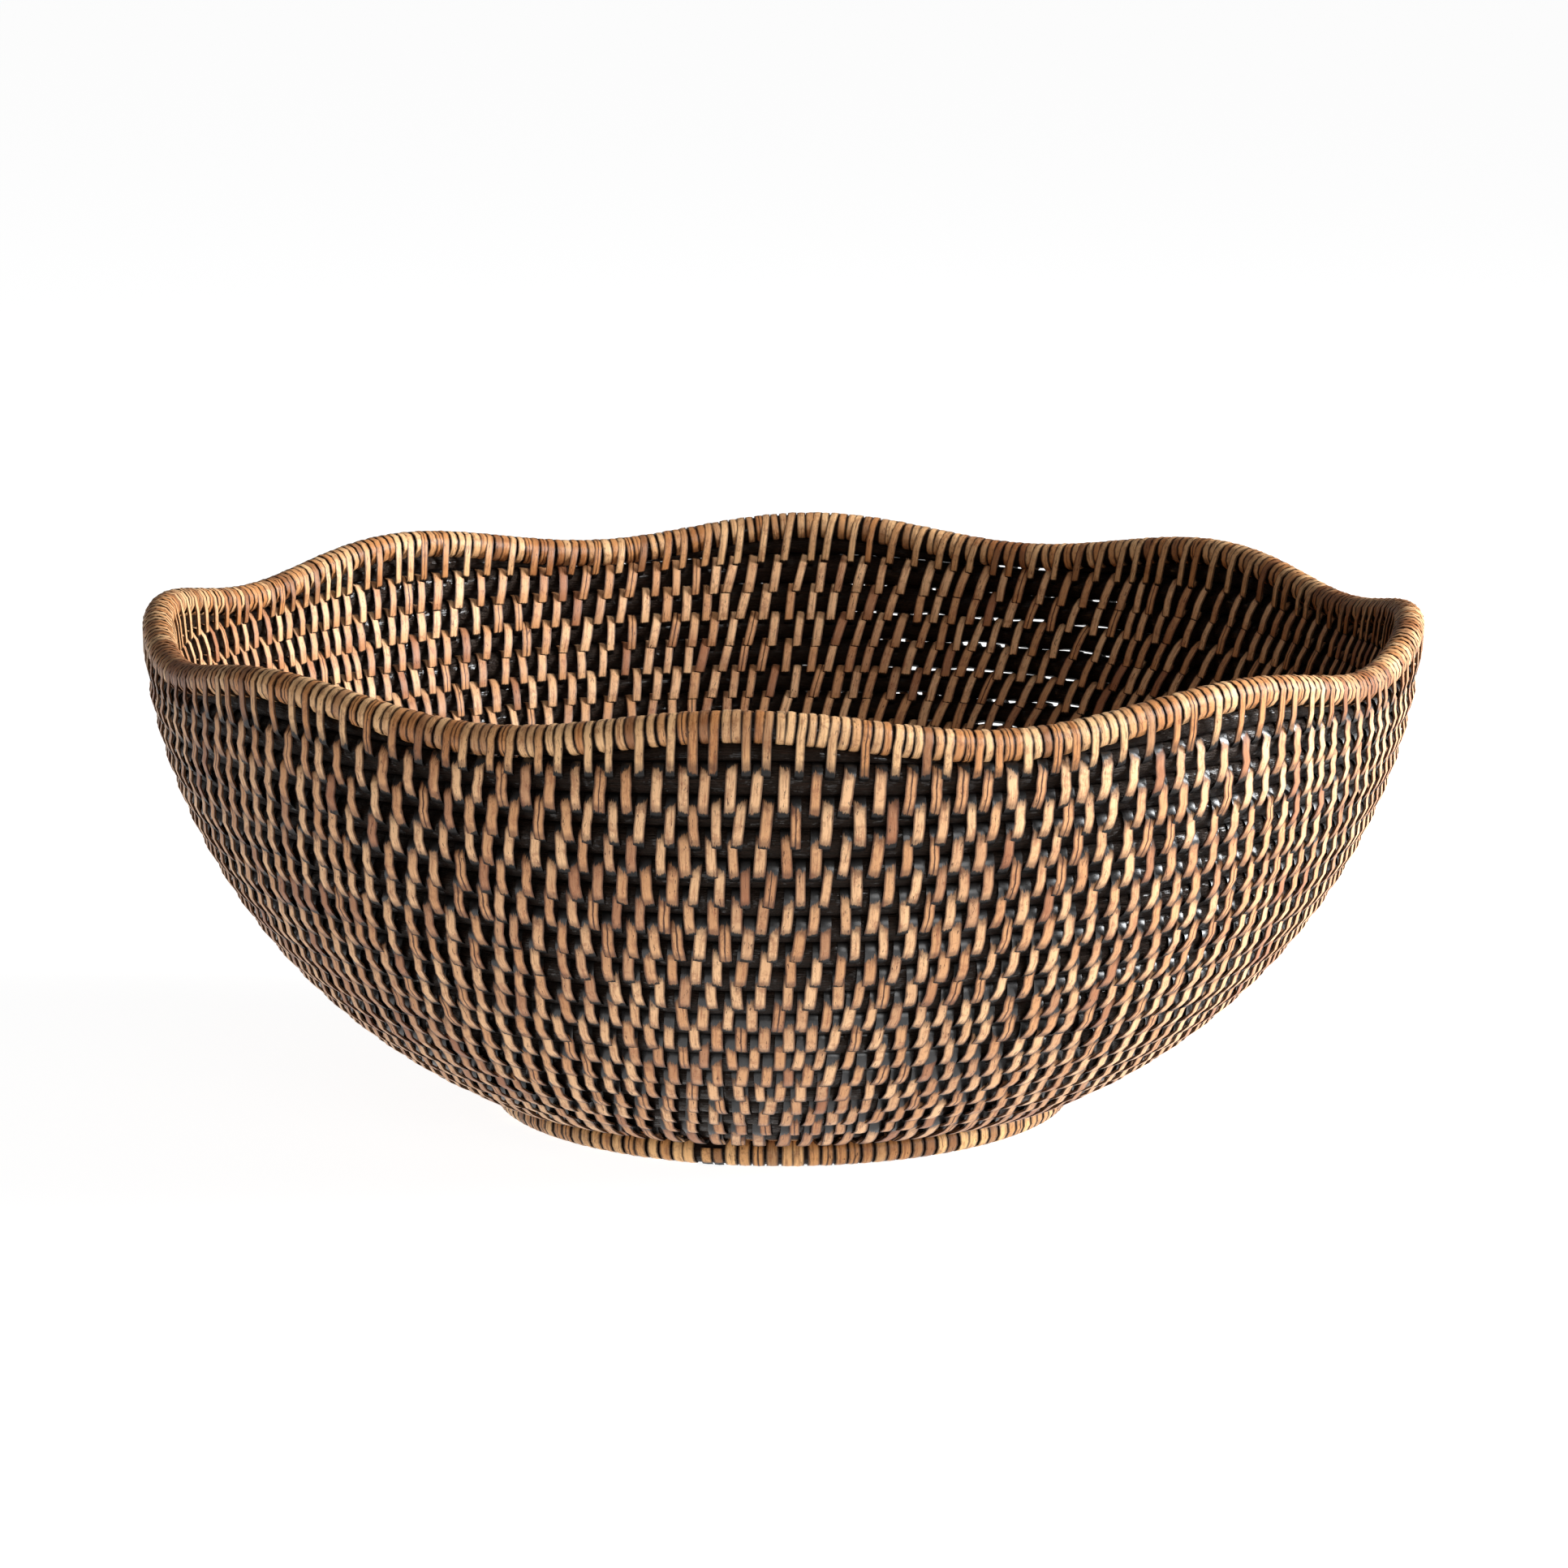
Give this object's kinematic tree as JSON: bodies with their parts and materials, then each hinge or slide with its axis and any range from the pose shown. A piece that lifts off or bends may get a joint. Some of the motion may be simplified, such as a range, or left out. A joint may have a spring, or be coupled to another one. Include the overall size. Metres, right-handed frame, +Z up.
{
  "type": "woven fruit basket",
  "caption": "Coiled rattan fruit bowl with dark hoops lashed by pale splints, a scalloped closely wrapped rim and a low wrapped foot ring.",
  "frame": {"origin": "on the floor, under the middle of the bowl: the bottom centre of its box", "axes": "+Z up through the middle of the bowl; +X through the crest of one lobe of the rim"},
  "size_m": [0.3908, 0.3908, 0.156],
  "materials": {
    "dark_rod": "near-black brown lacquer over split rattan, glossy, with fine lengthwise grain",
    "splint": "natural tan rattan splint, satin, with brown flecks and dark lacquer left at its ends",
    "rim_splint": "honey rattan splint, lacquered, with scorched brown patches",
    "foot_splint": "yellow-tan rattan splint, lacquered, stained brown along its upper edge"
  },
  "bodies": {
    "root": {"rim_rod": "dark_rod", "rim_wrapping": "rim_splint", "lobe_fillers": "dark_rod", "wall_rod_1": "dark_rod", "wall_rod_2": "dark_rod", "wall_rod_3": "dark_rod", "wall_rod_4": "dark_rod", "wall_rod_5": "dark_rod", "wall_rod_6": "dark_rod", "wall_rod_7": "dark_rod", "wall_rod_8": "dark_rod", "wall_rod_9": "dark_rod", "wall_rod_10": "dark_rod", "wall_rod_11": "dark_rod", "wall_rod_12": "dark_rod", "wall_rod_13": "dark_rod", "wall_rod_14": "dark_rod", "wall_rod_15": "dark_rod", "wall_rod_16": "dark_rod", "wall_rod_17": "dark_rod", "wall_rod_18": "dark_rod", "wall_lashing_1": "splint", "wall_lashing_2": "splint", "wall_lashing_3": "splint", "wall_lashing_4": "splint", "wall_lashing_5": "splint", "wall_lashing_6": "splint", "wall_lashing_7": "splint", "wall_lashing_8": "splint", "wall_lashing_9": "splint", "wall_lashing_10": "splint", "wall_lashing_11": "splint", "wall_lashing_12": "splint", "wall_lashing_13": "splint", "wall_lashing_14": "splint", "wall_lashing_15": "splint", "wall_lashing_16": "splint", "wall_lashing_17": "splint", "wall_lashing_18": "splint", "base_rod_1": "dark_rod", "base_rod_2": "dark_rod", "base_rod_3": "dark_rod", "base_rod_4": "dark_rod", "base_rod_5": "dark_rod", "base_rod_6": "dark_rod", "base_rod_7": "dark_rod", "base_rod_8": "dark_rod", "base_rod_9": "dark_rod", "base_lashing": "splint", "base_heart": "dark_rod", "foot_rod": "dark_rod", "foot_wrapping": "foot_splint"}
  },
  "joints": []
}
